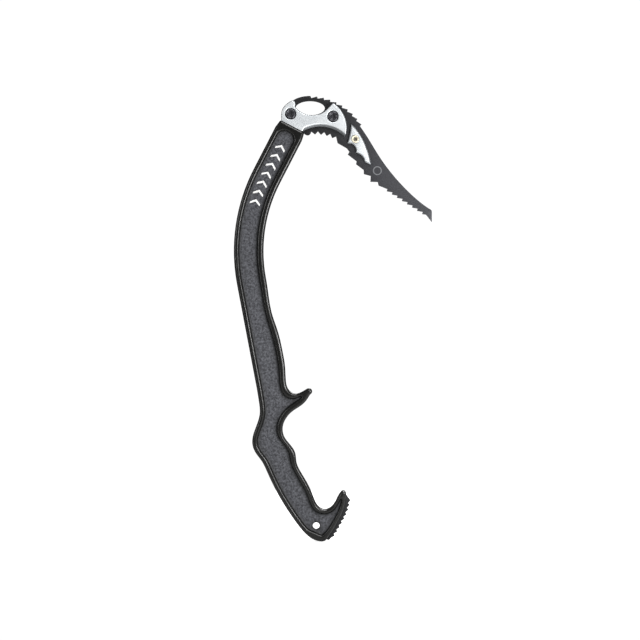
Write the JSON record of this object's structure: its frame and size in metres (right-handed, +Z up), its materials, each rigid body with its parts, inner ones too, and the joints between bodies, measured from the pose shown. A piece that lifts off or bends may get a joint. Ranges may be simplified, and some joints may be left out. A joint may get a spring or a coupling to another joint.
{
  "type": "ice axe",
  "caption": "Leashless curved ice tool: forged head clamping a toothed steel pick, rubber-covered bowed shaft with a trigger, a hooked pommel and a serrated spike plate.",
  "frame": {"origin": "centre of the tether hole in the pommel, on the tool's mid-plane", "axes": "+Z up the handle to the head, +X towards the pick, +Y across the thickness to the nut side"},
  "size_m": [0.222, 0.022, 0.4994],
  "materials": {
    "forged_aluminium": "bead-blasted, clear anodised",
    "black_rubber": "moulded, satin rims and fine-grained panels",
    "black_steel": "black phosphate coated tool steel",
    "dark_fastener": "black oxide",
    "weight_steel": "bead-blasted stainless",
    "pale_brass": "satin",
    "pin_steel": "ground"
  },
  "bodies": {
    "root": {"shaft_core": "forged_aluminium", "shaft_overmold": "black_rubber", "pick": "black_steel", "head_bolt_rear": "dark_fastener", "head_bolt_front": "dark_fastener", "head_nut_rear": "dark_fastener", "head_nut_front": "dark_fastener", "pick_weight_left": "weight_steel", "pick_weight_right": "weight_steel", "weight_screw": "pale_brass", "weight_nut": "pale_brass", "spike_plate": "black_steel", "spike_pin_lower": "pin_steel", "spike_pin_upper": "pin_steel"}
  },
  "joints": []
}
